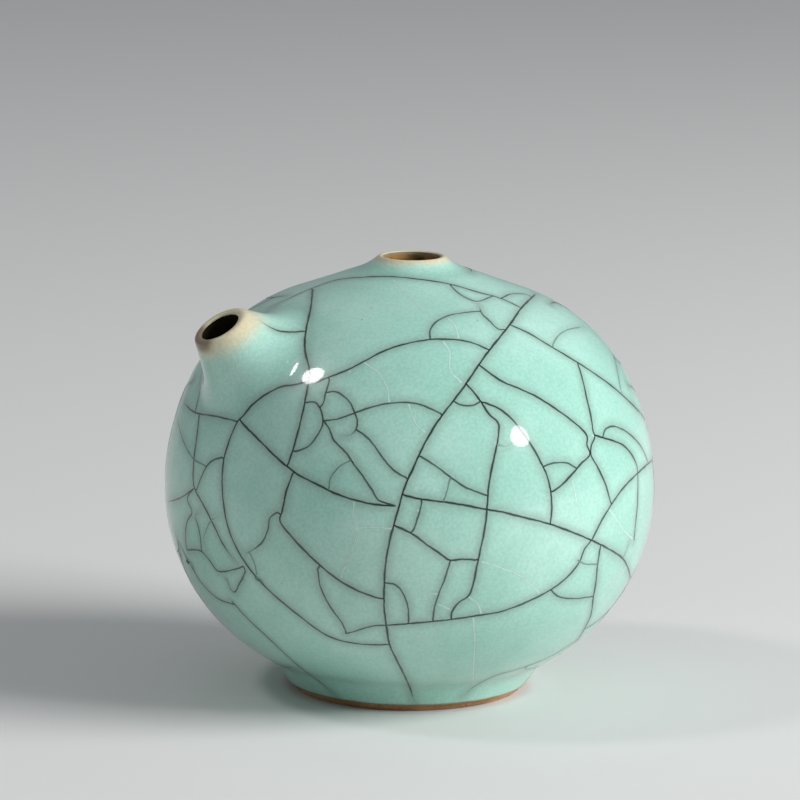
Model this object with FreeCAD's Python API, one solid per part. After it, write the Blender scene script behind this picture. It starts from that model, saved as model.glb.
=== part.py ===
import FreeCAD, Part
import math
import os
from FreeCAD import Vector

# Calligraphy water dropper: a hollow stoneware globe with a crackle glaze, a
# fill and finger hole in a low collar on top, a short pouring spout on one
# shoulder and a bare foot ring. Millimetres, +Z up, the origin is the centre of
# the foot's underside, and the spout points to -X.
#
# Angles of the outline are the way that its surface faces in the r, z plane:
# 0 degrees faces up, 90 degrees faces out and 180 degrees faces down.

# ---- the globe's outline, measured on the glazed surface ----
overall_height = 62.0
globe_radius = 34.8
belly_height = 29.0            # height of the widest girth
belly_turn = 65.0              # degrees, where the shoulder's curve gives way to the belly's
skirt_slope = 19.6             # degrees, the straight skirt from the collar to the shoulder
skirt_length = 9.8
collar_curve = 9.0             # section radius of the hollow sweep below the rim
rim_slope = 42.0               # degrees, the collar just below its rim
rim_rounding = 0.5

# ---- the foot ----
foot_radius = 16.6
foot_lean = 32.0               # degrees that the foot's wall leans outwards
foot_wall = 3.3                # length of that wall from the table to the cove
foot_height = 2.0              # height of the ring under the globe's base
foot_width = 3.4               # width of the ring at the table
foot_rounding = 0.5
cove_curve = 5.0               # section radius of the hollow above the foot
bare_band = 1.0                # height of bare clay that shows below the glaze

# ---- walls and coats ----
clay_wall = 3.0
clay_floor = 3.2
floor_turn = 140.0             # degrees, where the inside leaves the belly's curve for the floor
outer_coat = 0.35
liner_coat = 0.3
base_coat = 0.35
base_margin = 0.4              # bare ring between the base's glaze and the foot

# ---- the fill hole and its collar ----
fill_hole_radius = 4.0
collar_plug_radius = 10.0      # the collar is a ring set into the globe's top opening

# ---- the spout: a cone square to the shoulder, cut off slanting at its mouth ----
spout_place = 47.5             # degrees, the way the shoulder faces where the spout stands
spout_height = 6.3             # from the shoulder out to the middle of the mouth
spout_lean = 27.5              # degrees that the cone's side leans in
spout_root = 3.5               # how far the cone runs on under the shoulder
spout_blend = 8.0              # fillet between the cone and the shoulder
spout_rise = 57.0              # degrees that the bore rises, square to the mouth
spout_bore_radius = 2.85
spout_lip_width = 1.0          # from the bore to the outer edge of the mouth
spout_lip_rounding = 0.4
spout_seat_radius = 8.4        # round opening in the globe that the spout is set into

# ---- reach of cuts past what they cut, and the gap that counts as none ----
overcut = 1.0
join_gap = 0.001

up, out, down = 0, 90, 180
wall_turn = out + foot_lean
throat_top = overall_height - rim_rounding
lip_radius = spout_bore_radius + spout_lip_width
narrowing = math.tan(math.radians(spout_lean))


def facing(angle):
    """Unit vector in the r, z plane that faces that way."""
    turn = math.radians(angle)
    return Vector(math.sin(turn), 0, math.cos(turn))


def angle_of(direction):
    return math.degrees(math.atan2(direction.x, direction.z))


def cross(first, second):
    return first.x * second.z - first.z * second.x


def on_axis(height):
    return Vector(0, 0, height)


class Round:
    """Round stretch of an outline, from one facing angle to another."""

    def __init__(self, bulges, centre, radius, first, last):
        self.bulges = bulges
        self.centre = centre
        self.radius = radius
        self.first = first
        self.last = last

    def point(self, angle, inset):
        """Point of the stretch, moved in by the inset."""
        if self.bulges:
            return self.centre + facing(angle) * (self.radius - inset)
        return self.centre - facing(angle) * (self.radius + inset)

    def edge(self, inset):
        angles = (self.first, (self.first + self.last) / 2, self.last)
        return Part.Arc(*[self.point(angle, inset) for angle in angles]).toShape()

    def part(self, first, last):
        """Another stretch of the same circle."""
        return Round(self.bulges, self.centre, self.radius, first, last)


def ends(step, inset):
    """First and last point of a round stretch, or a corner twice."""
    if isinstance(step, Round):
        return step.point(step.first, inset), step.point(step.last, inset)
    return step, step


def turned(steps, inset):
    """Solid turned about the Z axis from a closed run of round stretches and corners."""
    edges = []
    before = ends(steps[-1], inset)[1]
    for step in steps:
        first, last = ends(step, inset)
        if before.distanceToPoint(first) > join_gap:
            edges.append(Part.LineSegment(before, first).toShape())
        if isinstance(step, Round):
            edges.append(step.edge(inset))
        before = last
    face = Part.Face(Part.Wire(edges))
    return face.revolve(on_axis(0), Vector(0, 0, 1), 360)


def cylinder(radius, start, end):
    """Round bar between two points."""
    return Part.makeCylinder(radius, start.distanceToPoint(end), start, end - start)


def flattened(lip, inset):
    """A lip's two ends as corners, for clay that keeps a plain edge under its glaze."""
    return list(ends(lip, inset)) if inset else [lip]


def globe_outline():
    """Tangent stretches of the glazed outline, from the fill hole out and down to the foot."""
    girth = Vector(globe_radius, 0, belly_height)

    lip_centre = Vector(fill_hole_radius + rim_rounding, 0, throat_top)
    lip = Round(True, lip_centre, rim_rounding, -out, rim_slope)
    sweep_centre = lip_centre + facing(rim_slope) * (rim_rounding + collar_curve)
    sweep = Round(False, sweep_centre, collar_curve, rim_slope, skirt_slope)

    # two curves, each tangent to its neighbours, lead from the skirt's end to the girth
    skirt_end = sweep.point(skirt_slope, 0) + facing(skirt_slope + out) * skirt_length
    first_chord = facing(belly_turn) - facing(skirt_slope)
    second_chord = facing(out) - facing(belly_turn)
    span = girth - skirt_end
    area = cross(first_chord, second_chord)
    shoulder_curve = cross(span, second_chord) / area
    upper_curve = cross(first_chord, span) / area
    shoulder_centre = skirt_end - facing(skirt_slope) * shoulder_curve
    shoulder = Round(True, shoulder_centre, shoulder_curve, skirt_slope, belly_turn)
    upper = Round(True, girth - facing(out) * upper_curve, upper_curve, belly_turn, out)

    # the lower belly's circle passes the girth upright and touches the cove's circle
    heel = Vector(foot_radius, 0, 0)
    cove_start = heel - facing(wall_turn + out) * foot_wall
    cove_centre = cove_start + facing(wall_turn) * cove_curve
    offset = cove_centre - girth
    lower_curve = (offset.dot(offset) - cove_curve ** 2) / (2 * (cove_curve - offset.x))
    lower_centre = girth - facing(out) * lower_curve
    lower_end = angle_of(cove_centre - lower_centre)
    lower = Round(True, lower_centre, lower_curve, out, lower_end)
    cove = Round(False, cove_centre, cove_curve, lower_end, wall_turn)
    return lip, sweep, shoulder, upper, lower, cove


lip, sweep, shoulder, upper, lower, cove = globe_outline()


def foot_wall_point(height, inset):
    """Point on the foot's leaning wall at a height."""
    up_wall = -facing(wall_turn + out)
    start = Vector(foot_radius, 0, 0) - facing(wall_turn) * inset
    return start + up_wall * ((height - start.z) / up_wall.z)


def globe_form(inset, bottom):
    """Globe, collar and foot as one turned solid, filled but for the dish inside the lip."""
    heel = foot_wall_point(bottom, inset)
    rim = flattened(lip, inset)
    wall = [sweep, shoulder, upper, lower, cove]
    return turned(rim + wall + [heel, on_axis(bottom), on_axis(throat_top)], inset)


def globe_cavity(coat):
    """Space inside the globe and up through the fill hole, less a coat on its walls."""
    inset = outer_coat + clay_wall + coat
    hole = fill_hole_radius + liner_coat - coat
    throat_turn = math.degrees(math.asin((sweep.centre.x - hole) / (sweep.radius + inset)))
    throat = sweep.part(throat_turn, skirt_slope)
    belly = lower.part(out, floor_turn)

    # a curve that leaves the belly at the floor's turn comes out level on the floor
    floor_height = foot_height + clay_floor + coat
    floor_start = belly.point(floor_turn, inset)
    floor_curve = (floor_start.z - floor_height) / (1 + facing(floor_turn).z)
    floor_centre = floor_start - facing(floor_turn) * floor_curve
    corner = Round(True, floor_centre, floor_curve + inset, floor_turn, down)

    head = [on_axis(throat_top), Vector(hole, 0, throat_top)]
    return turned(head + [throat, shoulder, upper, belly, corner, on_axis(floor_height)], inset)


def over_shoulder(height, uphill):
    """Point above the spout's stand, by height square to the shoulder and by way uphill."""
    across = facing(spout_place - out) * uphill
    spot = shoulder.point(spout_place, 0) + facing(spout_place) * height + across
    return Vector(-spot.x, 0, spot.z)


def spout_point(depth):
    """Point on the bore's axis at a depth below the mouth, which is centred on the cone's cut."""
    rise = math.radians(spout_rise)
    slant = rise - math.radians(out - spout_place)
    centring = lip_radius * narrowing * math.tan(slant)
    axis = Vector(-math.cos(rise), 0, math.sin(rise))
    return over_shoulder(spout_height, centring) - axis * depth


def spout_form(inset):
    """The spout as a solid cone, cut flat at the mouth."""
    root = over_shoulder(-spout_root, 0)
    square = over_shoulder(0, 0) - root
    thinning = inset / math.cos(math.radians(spout_lean))
    radius = lip_radius + (spout_height + spout_root) * narrowing - thinning
    cone = Part.makeCone(radius, 0, radius / narrowing, root, square)
    return cone.cut(cylinder(globe_radius, spout_point(inset), spout_point(-globe_radius)))


def spout_bore(radius, depth):
    """Round passage from a depth below the mouth into the reservoir."""
    deep_end = spout_height + spout_root + clay_wall
    return cylinder(radius, spout_point(depth), spout_point(deep_end))


def whole_form(inset, bottom):
    """Globe and spout as one form, with the seam between them swept smooth."""
    form = globe_form(inset, bottom).fuse(spout_form(inset))
    seam = [edge for edge in form.Edges if isinstance(edge.Curve, Part.BSplineCurve)]
    return form.makeFillet(spout_blend + inset, seam)


def whole_cavity(coat):
    """Reservoir, fill hole and spout bore as one space, less a coat on its walls."""
    bore = spout_bore(spout_bore_radius + liner_coat - coat, outer_coat)
    return globe_cavity(coat).fuse(bore)


def collar_seat():
    """Round plug through the crown, from inside the reservoir to above the rim."""
    bottom = on_axis(overall_height - collar_plug_radius)
    return cylinder(collar_plug_radius, bottom, on_axis(overall_height + overcut))


def spout_seat():
    """Round plug through the wall under the spout, square to the shoulder."""
    inside = over_shoulder(-spout_root - 2 * clay_wall, 0)
    return cylinder(spout_seat_radius, inside, over_shoulder(2 * spout_height, 0))


def foot_slab():
    """Everything between the table and the underside of the globe."""
    return cylinder(globe_radius, on_axis(-overcut), on_axis(foot_height))


def foot_recess(gap):
    """Space under the base, inside the foot ring, less a gap round it."""
    return cylinder(foot_radius - foot_width - gap, on_axis(-overcut), on_axis(foot_height))


def outer_glaze():
    """Glazed form down to the bare band, open at the spout, with both edges of its lip rounded."""
    form = whole_form(0, bare_band).cut(spout_bore(spout_bore_radius, -overcut))
    lip_face = min(form.Faces, key=lambda face: face.CenterOfMass.distanceToPoint(spout_point(0)))
    return form.makeFillet(spout_lip_rounding, lip_face.Edges)


def base_glaze():
    """Coat on the base, inside the foot ring."""
    layer = cylinder(globe_radius, on_axis(foot_height - base_coat), on_axis(foot_height))
    return foot_recess(base_margin).common(layer)


def standing_edges(shape):
    """The circles that a shape stands on, at the table's height."""
    rings = [edge for edge in shape.Edges if isinstance(edge.Curve, Part.Circle)]
    return [ring for ring in rings if abs(ring.Curve.Center.z) < join_gap]


def save(name, shape):
    shape = shape.removeSplitter()
    shape.exportStep("parts/" + name + ".step")
    print(name, len(shape.Solids), "solid", round(shape.Volume, 1), "mm3", shape.isValid())


def main():
    os.makedirs("parts", exist_ok=True)
    clay_form = whole_form(outer_coat, 0)
    clay = clay_form.cut(whole_cavity(0))
    above_foot = clay.cut(foot_slab())

    foot_ring = clay.common(foot_slab()).cut(foot_recess(0))
    foot_ring = foot_ring.makeFillet(foot_rounding, standing_edges(foot_ring))

    save("clay_globe", above_foot.cut(collar_seat()).cut(spout_seat()))
    save("foot_ring", foot_ring)
    save("clay_collar", above_foot.common(collar_seat()))
    save("clay_spout", above_foot.common(spout_seat()))
    save("outer_glaze", outer_glaze().cut(clay_form))
    save("liner_glaze", whole_cavity(0).cut(whole_cavity(liner_coat)))
    save("base_glaze", base_glaze())
    mouth = spout_point(0)
    print("spout mouth", round(mouth.x, 3), round(mouth.z, 3))


main()
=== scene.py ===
import bmesh
import bpy
import math
import numpy as np
from mathutils import Matrix


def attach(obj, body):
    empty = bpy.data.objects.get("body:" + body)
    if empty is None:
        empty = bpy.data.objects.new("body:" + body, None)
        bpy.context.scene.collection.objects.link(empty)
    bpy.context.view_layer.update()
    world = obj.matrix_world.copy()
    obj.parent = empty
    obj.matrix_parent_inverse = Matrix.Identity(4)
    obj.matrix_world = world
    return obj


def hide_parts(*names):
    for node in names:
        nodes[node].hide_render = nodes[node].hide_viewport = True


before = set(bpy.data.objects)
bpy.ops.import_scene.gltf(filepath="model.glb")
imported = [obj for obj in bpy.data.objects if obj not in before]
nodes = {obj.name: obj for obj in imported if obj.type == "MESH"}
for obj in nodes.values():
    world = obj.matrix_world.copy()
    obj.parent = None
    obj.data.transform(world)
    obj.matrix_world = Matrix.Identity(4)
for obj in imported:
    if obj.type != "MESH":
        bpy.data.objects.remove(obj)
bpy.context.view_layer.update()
mm = 0.001                     # lengths are in millimetres, but those of floor and lamps in metres
print("frame loaded:", ", ".join(sorted(nodes)))


# the camera, fitted to the photograph
view = {
    "azimuth": -33.0, "pitch": 10.8, "roll": 0.6,            # degrees
    "distance": 690.0, "pixelsPerRadian": 4854.0,
    "aimRight": -1.36, "aimUp": 10.05, "aimHeight": 31.0,    # the point at the photograph's centre
    "photoWidth": 800, "sensor": 36.0, "clipNear": 50.0, "clipFar": 20000.0,
}


def cameraFrame():
    # right, up and back of the camera: azimuth turns it about Z, pitch lifts it, roll turns it on its axis
    a, e, roll = (math.radians(view[key]) for key in ("azimuth", "pitch", "roll"))
    right = np.array([math.cos(a), math.sin(a), 0])
    back = np.array([math.sin(a) * math.cos(e), -math.cos(a) * math.cos(e), math.sin(e)])
    up = np.cross(back, right)
    rolledRight = math.cos(roll) * right + math.sin(roll) * up
    rolledUp = math.cos(roll) * up - math.sin(roll) * right
    aim = view["aimRight"] * rolledRight + view["aimUp"] * rolledUp + [0, 0, view["aimHeight"]]
    return rolledRight, rolledUp, back, aim + back * view["distance"]


camRight, camUp, camBack, camPlace = cameraFrame()


def newObject(name, data):
    # an object at the origin, in the scene
    made = bpy.data.objects.new(name, data)
    bpy.context.scene.collection.objects.link(made)
    return made


def placed(right, up, back, place):
    # matrix of an object at a place in metres, whose own axes point right, up and back
    turn = Matrix([right, up, back]).transposed().to_4x4()
    return Matrix.Translation(place) @ turn


def addCamera():
    # lens = pixels per radian * sensor width / the photograph's width
    data = bpy.data.cameras.new("photoCamera")
    data.sensor_width = view["sensor"]
    data.lens = view["pixelsPerRadian"] * view["sensor"] / view["photoWidth"]
    data.clip_start = view["clipNear"] * mm
    data.clip_end = view["clipFar"] * mm
    cam = newObject("photoCamera", data)
    cam.matrix_world = placed(camRight, camUp, camBack, camPlace * mm)
    bpy.context.scene.camera = cam


# the outline of the turned form, as the CAD part has it
globe = {
    "height": 62.0, "girthRadius": 34.8, "girthHeight": 29.0, "bellyTurn": 65.0,
    "skirtSlope": 19.6, "skirtLength": 9.8, "collarCurve": 9.0, "rimSlope": 42.0,
    "rimRounding": 0.5, "holeRadius": 4.0,
    "footRadius": 16.6, "footLean": 32.0, "footWall": 3.3, "coveCurve": 5.0,
    "bareBand": 1.0, "coat": 0.35,
}
spout = {                                    # a cone square to the shoulder, cut off slanting
    "place": 47.5, "rise": 57.0, "lean": 27.5,              # degrees
    "height": 6.3, "root": 6.0, "blend": 8.0, "boreRadius": 2.85, "lipWidth": 1.0,
    "lipRounding": 0.6, "lipDepth": 0.33, "surround": 12.0, "sunk": 4.0,
}
farAway = 1e3                                # a distance beyond every other, in mm
sectorSlack = 1e-6                           # rounding allowed where two stretches meet
tiny = 1e-9                                  # keeps a division from a length of nothing


def facing(degrees):
    # unit vector in the r, z plane: 0 degrees faces up, 90 faces out, 180 faces down
    turn = np.radians(degrees)
    return np.stack([np.sin(turn), np.cos(turn)], -1)


def roundStretch(centre, bend, first, last):
    # centre + bend * facing(angle); the bend is below zero where the outline is hollow
    length = abs(bend * math.radians(last - first))
    return {"anchor": centre, "bend": bend, "first": first, "last": last, "length": length}


def straightStretch(start, end):
    # it faces a quarter turn back from the way it runs
    run = end - start
    angle = math.degrees(math.atan2(run[0], run[1])) - 90
    return {"anchor": start, "bend": 0, "first": angle, "last": angle, "length": math.hypot(*run)}


def cross(first, second):
    # area that two flat vectors span, with its sign
    return first[0] * second[1] - first[1] * second[0]


def globeOutline():
    # lip, hollow sweep, straight skirt, shoulder, upper belly, lower belly, cove, foot wall
    g = globe
    girth = np.array([g["girthRadius"], g["girthHeight"]])
    lipCentre = np.array([g["holeRadius"] + g["rimRounding"], g["height"] - g["rimRounding"]])
    sweepCentre = lipCentre + facing(g["rimSlope"]) * (g["rimRounding"] + g["collarCurve"])
    skirtStart = sweepCentre - facing(g["skirtSlope"]) * g["collarCurve"]
    skirtEnd = skirtStart + facing(g["skirtSlope"] + 90) * g["skirtLength"]

    # two tangent arcs fill the span from the skirt's end to the girth
    firstChord = facing(g["bellyTurn"]) - facing(g["skirtSlope"])
    secondChord = facing(90) - facing(g["bellyTurn"])
    area = cross(firstChord, secondChord)
    shoulder = cross(girth - skirtEnd, secondChord) / area
    upper = cross(firstChord, girth - skirtEnd) / area

    # the lower belly touches the cove, and the cove touches the foot's leaning wall
    wallTurn = 90 + g["footLean"]
    heel = np.array([g["footRadius"], 0.0])
    upWall = -facing(wallTurn + 90)
    coveStart = heel + upWall * g["footWall"]
    coveCentre = coveStart + facing(wallTurn) * g["coveCurve"]
    offset = coveCentre - girth
    lower = (offset @ offset - g["coveCurve"] ** 2) / (2 * (g["coveCurve"] - offset[0]))
    lowerCentre = girth - facing(90) * lower
    lowerEnd = math.degrees(math.atan2(*(coveCentre - lowerCentre)))
    bandTop = heel + upWall * (g["bareBand"] / upWall[1])
    return [
        roundStretch(lipCentre, g["rimRounding"], -90, g["rimSlope"]),
        roundStretch(sweepCentre, -g["collarCurve"], g["rimSlope"], g["skirtSlope"]),
        straightStretch(skirtStart, skirtEnd),
        roundStretch(skirtEnd - facing(g["skirtSlope"]) * shoulder, shoulder,
                     g["skirtSlope"], g["bellyTurn"]),
        roundStretch(girth - facing(90) * upper, upper, g["bellyTurn"], 90),
        roundStretch(lowerCentre, lower, 90, lowerEnd),
        roundStretch(coveCentre, -g["coveCurve"], lowerEnd, wallTurn),
        straightStretch(coveStart, bandTop),
    ]


globePath = globeOutline()
standFlat = globePath[3]["anchor"] + globePath[3]["bend"] * facing(spout["place"])
stand = np.array([-standFlat[0], 0, standFlat[1]])
square = np.array([-facing(spout["place"])[0], 0, facing(spout["place"])[1]])
uphill = np.array([square[2], 0, -square[0]])
sideways = np.array([0.0, 1.0, 0.0])
riseTurn = math.radians(spout["rise"])
mouthAxis = np.array([-math.cos(riseTurn), 0, math.sin(riseTurn)])
coneLean = math.radians(spout["lean"])
narrowing = math.tan(coneLean)
lipRadius = spout["boreRadius"] + spout["lipWidth"]
coneRadius = lipRadius + spout["height"] * narrowing
slant = riseTurn - math.radians(90 - spout["place"])
mouth = stand + square * spout["height"] + uphill * lipRadius * narrowing * math.tan(slant)
print("spout mouth at", mouth.round(2), "mm")


def along(path, stations):
    # point in the r, z plane at each distance along the stretches: anchor + bend * facing(angle) on
    # an arc, anchor + way gone * facing(angle + 90) on a straight stretch
    points = np.zeros((len(stations), 2))
    start = 0.0
    for piece in path:
        share = (stations - start) / piece["length"]
        here = (share > -sectorSlack) & (share < 1 + sectorSlack)
        angle = piece["first"] + (piece["last"] - piece["first"]) * share[here]
        if piece["bend"]:
            points[here] = piece["anchor"] + piece["bend"] * facing(angle)
        else:
            points[here] = piece["anchor"] + (share[here] * piece["length"])[:, None] * facing(angle + 90)
        start += piece["length"]
    return points


def pathLength(path):
    # the lengths of all stretches, added up
    return sum(piece["length"] for piece in path)


def gapTo(path, flat):
    # signed distance in the r, z plane, positive outside, and the way it grows: the nearest
    # among the stretches whose own sector of facing angles holds the point
    best = np.full(len(flat), farAway)
    grows = np.zeros_like(flat)
    for piece in path:
        away = flat - piece["anchor"]
        if piece["bend"]:
            side = np.sign(piece["bend"])
            angle = np.degrees(np.arctan2(side * away[:, 0], side * away[:, 1]))
            low, high = sorted((piece["first"], piece["last"]))
            held = (angle >= low - sectorSlack) & (angle <= high + sectorSlack)
            reach = np.maximum(np.hypot(away[:, 0], away[:, 1]), tiny)
            gap = side * (reach - abs(piece["bend"]))
            slope = side * away / reach[:, None]
        else:
            run = away @ facing(piece["first"] + 90)
            held = (run >= -sectorSlack) & (run <= piece["length"] + sectorSlack)
            gap = away @ facing(piece["first"])
            slope = np.broadcast_to(facing(piece["first"]), flat.shape)
        closer = held & (np.abs(gap) < np.abs(best))
        best = np.where(closer, gap, best)
        grows = np.where(closer[:, None], slope, grows)
    return best, grows


def globeGap(points):
    # the outline's gap at radius sqrt(x * x + y * y) and height z, its slope turned about the axis
    radius = np.maximum(np.hypot(points[:, 0], points[:, 1]), tiny)
    gap, slope = gapTo(globePath, np.stack([radius, points[:, 2]], -1))
    return gap, np.concatenate([slope[:, :1] * points[:, :2] / radius[:, None], slope[:, 1:]], 1)


def coneGap(points):
    # (r - r0 + height * tan(lean)) * cos(lean) about the cone's axis, closed by a flat root
    offset = points - stand
    height = offset @ square
    away = offset - height[:, None] * square
    radius = np.maximum(np.linalg.norm(away, axis=1), tiny)
    side = (radius - coneRadius + narrowing * height) * math.cos(coneLean)
    slope = math.cos(coneLean) * away / radius[:, None] + math.sin(coneLean) * square
    below = -spout["root"] - height
    return np.maximum(side, below), np.where((side > below)[:, None], slope, -square)


def glazeGap(points):
    # globe and cone with a ball rolled along their seam: where the ball touches both, the gap is
    # the ball's radius less the distance to its centre, and elsewhere it is the lesser gap
    (body, bodySlope), (cone, coneSlope) = globeGap(points), coneGap(points)
    toBody, toCone = spout["blend"] - body, spout["blend"] - cone
    meet = (bodySlope * coneSlope).sum(1)
    rolled = (toBody > toCone * meet) & (toCone > toBody * meet)
    reachSquared = toBody ** 2 + toCone ** 2 - 2 * toBody * toCone * meet
    reachSquared = reachSquared / np.maximum(1 - meet ** 2, tiny)
    ball = spout["blend"] - np.sqrt(np.maximum(reachSquared, 0))
    return np.where(rolled, ball, np.minimum(body, cone))


probes = np.array([[1, -1, -1], [-1, -1, 1], [-1, 1, -1], [1, 1, 1]], float)
probeStep = 0.01
weakSlope = 0.2                              # least squared slope that a Newton step divides by


def slopeOf(gap, points):
    # gradient from four probes at the corners of a small tetrahedron
    return sum(gap(points + probe * probeStep)[:, None] * probe for probe in probes) / (4 * probeStep)


def unit(vectors):
    # each vector over its own length
    return vectors / np.maximum(np.linalg.norm(vectors, axis=-1, keepdims=True), tiny)


def outwardAt(points):
    # the way the glaze faces
    return unit(slopeOf(glazeGap, points))


def ontoGlaze(points, rounds=5):
    # Newton steps along the gradient: gap * slope / slope squared
    for _ in range(rounds):
        slope = slopeOf(glazeGap, points)
        squared = np.maximum((slope ** 2).sum(1), weakSlope)[:, None]
        points = points - glazeGap(points)[:, None] * slope / squared
    return points


def smoothstep(low, high, value):
    # share squared * (3 - 2 * share), 0 at low and 1 at high
    share = np.clip((value - low) / (high - low), 0, 1)
    return share * share * (3 - 2 * share)


def mouthDepth(points):
    # how far a point of the spout or its root lies below the plane of the mouth; far below elsewhere
    offset = points - stand
    height = offset @ square
    away = np.linalg.norm(offset - height[:, None] * square, axis=1)
    near = (away < spout["surround"]) & (height > -spout["sunk"])
    return np.where(near, (mouth - points) @ mouthAxis, farAway)


thrownSettings = {
    "lumps": 0.045, "rings": 0.010, "ringPitch": 5.2, "edgeFade": 4.0,
    "lumpWaves": ((0.13, 0.06, 1.3), (0.11, -0.07, 0.4)),    # radians per mm sideways and up, and phase
    "ringSway": 0.8, "ringPhase": 1,                         # radians
}


def thrown(points):
    # how far the hand-thrown wall lies inside the true form: soft lumps and faint turning rings,
    # none at the rim, the spout's lip and the foot
    t = thrownSettings
    x, y, z = points.T
    (alongX, firstUp, firstPhase), (alongY, secondUp, secondPhase) = t["lumpWaves"]
    wave = np.sin(alongX * x + firstUp * z + firstPhase)
    lumps = 1 + wave * np.sin(alongY * y + secondUp * z + secondPhase)
    sway = t["ringSway"] * np.sin(np.arctan2(y, x) + t["ringPhase"])
    rings = 1 + np.sin(2 * np.pi * z / t["ringPitch"] + sway)
    rim = smoothstep(globe["height"], globe["height"] - t["edgeFade"], z)
    foot = smoothstep(globe["bareBand"], globe["bareBand"] + t["edgeFade"], z)
    lip = smoothstep(0, t["edgeFade"], mouthDepth(points))
    return (t["lumps"] * lumps + t["rings"] * rings) * rim * foot * lip


creaseAngle = 50.0                           # degrees, above which an edge stays sharp


def newPiece(name, points, faces):
    # a smooth mesh from points in mm, its faces turned outwards, that rides on the body
    mesh = bpy.data.meshes.new(name)
    mesh.from_pydata((points * mm).tolist(), [], faces)
    shell = bmesh.new()
    shell.from_mesh(mesh)
    bmesh.ops.recalc_face_normals(shell, faces=shell.faces)
    shell.to_mesh(mesh)
    shell.free()
    mesh.shade_smooth()
    mesh.set_sharp_from_angle(angle=math.radians(creaseAngle))
    piece = newObject(name, mesh)
    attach(piece, "root")
    return piece


def setAttribute(piece, name, values):
    # one value at each point of the mesh
    layer = piece.data.attributes.new(name, "FLOAT", "POINT")
    layer.data.foreach_set("value", np.asarray(values, np.float32))


def gridFaces(index, closed):
    # quads of a grid of vertex numbers; a closed grid joins its last column to its first
    if closed:
        index = np.concatenate([index, index[:, :1]], 1)
    corners = (index[:-1, :-1], index[1:, :-1], index[1:, 1:], index[:-1, 1:])
    return np.stack([corner.ravel() for corner in corners], -1)


def fanFaces(fine, coarse):
    # triangles between a closed loop and one with a quarter of its points
    f = fine.reshape(-1, 4)
    ends = np.roll(f[:, 0], -1)
    nextCoarse = np.roll(coarse, -1)
    strips = [(f[:, 0], f[:, 1], coarse), (f[:, 1], f[:, 2], coarse), (f[:, 2], nextCoarse, coarse),
              (f[:, 2], f[:, 3], nextCoarse), (f[:, 3], ends, nextCoarse)]
    return np.concatenate([np.stack(strip, -1) for strip in strips])


# columns about the axis, rows from the lip down, and the block of cells that the spout takes
glazeGrid = {
    "columns": 416, "lipRows": 12, "sweepRows": 8, "rows": 184, "footEdge": 4,
    "spoutColumns": 32, "spoutRows": 24, "blendRings": 40, "lipRings": 6,
    "sampleRows": 6, "sampleColumns": 8,         # how far apart the places are that a crack may start from
}


def glazeStations():
    # close rows round the lip and its sweep, even rows from there to the foot
    n = glazeGrid
    lip, sweep = globePath[0]["length"], globePath[1]["length"]
    rest = n["rows"] - n["lipRows"] - n["sweepRows"]
    return np.concatenate([
        np.linspace(0, lip, n["lipRows"] + 1)[:-1],
        np.linspace(lip, lip + sweep, n["sweepRows"] + 1)[:-1],
        np.linspace(lip + sweep, pathLength(globePath), rest + 1),
    ])


def bodyGrid(stations):
    # point (r cos a, r sin a, z) for each row of the outline and each azimuth a
    flat = along(globePath, stations)
    azimuth = np.arange(glazeGrid["columns"]) * 2 * np.pi / glazeGrid["columns"]
    return np.stack([flat[:, :1] * np.cos(azimuth), flat[:, :1] * np.sin(azimuth),
                     np.repeat(flat[:, 1:], len(azimuth), 1)], -1)


def bent(start, over, end, share):
    # quadratic curve from start to end, leaning towards a third point
    return (1 - share) ** 2 * start + 2 * share * (1 - share) * over + share ** 2 * end


def spoutRings(loop):
    # rings from the block's edge, over the blend and up the cone, then round the lip into the bore
    n = glazeGrid
    offset = loop - stand
    angle = np.arctan2(offset @ uphill, offset @ sideways)[:, None]
    spoke = np.cos(angle) * sideways + np.sin(angle) * uphill
    down = math.sin(coneLean) * spoke - math.cos(coneLean) * square
    tip = stand + square * coneRadius / narrowing
    edge = tip + down * ((mouth - tip) @ mouthAxis / (down @ mouthAxis))[:, None]
    toRim = unit(edge - mouth)
    inner = mouth + toRim * spout["boreRadius"]
    middle = (edge + inner) / 2
    lipStart = edge + down * spout["lipRounding"]
    bottom = inner - mouthAxis * spout["lipDepth"]
    rings, slopes = [], []
    for share in np.linspace(0, 1, n["blendRings"] + 1)[1:]:
        ring = ontoGlaze(bent(loop, stand + spoke * coneRadius, lipStart, share), rounds=8)
        rings.append(ring)
        slopes.append(outwardAt(ring))
    for share in np.linspace(0, 1, n["lipRings"] + 1)[1:]:
        rings.append(bent(rings[n["blendRings"] - 1], edge, middle, share))
        slopes.append(unit(slopes[n["blendRings"] - 1] * (1 - share) + mouthAxis * share))
    for share in np.linspace(0, 1, n["lipRings"] + 1)[1:]:
        rings.append(bent(middle, inner, bottom, share))
        slopes.append(unit(mouthAxis * (1 - share) - toRim * share))
    return np.array(rings), np.array(slopes)


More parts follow.
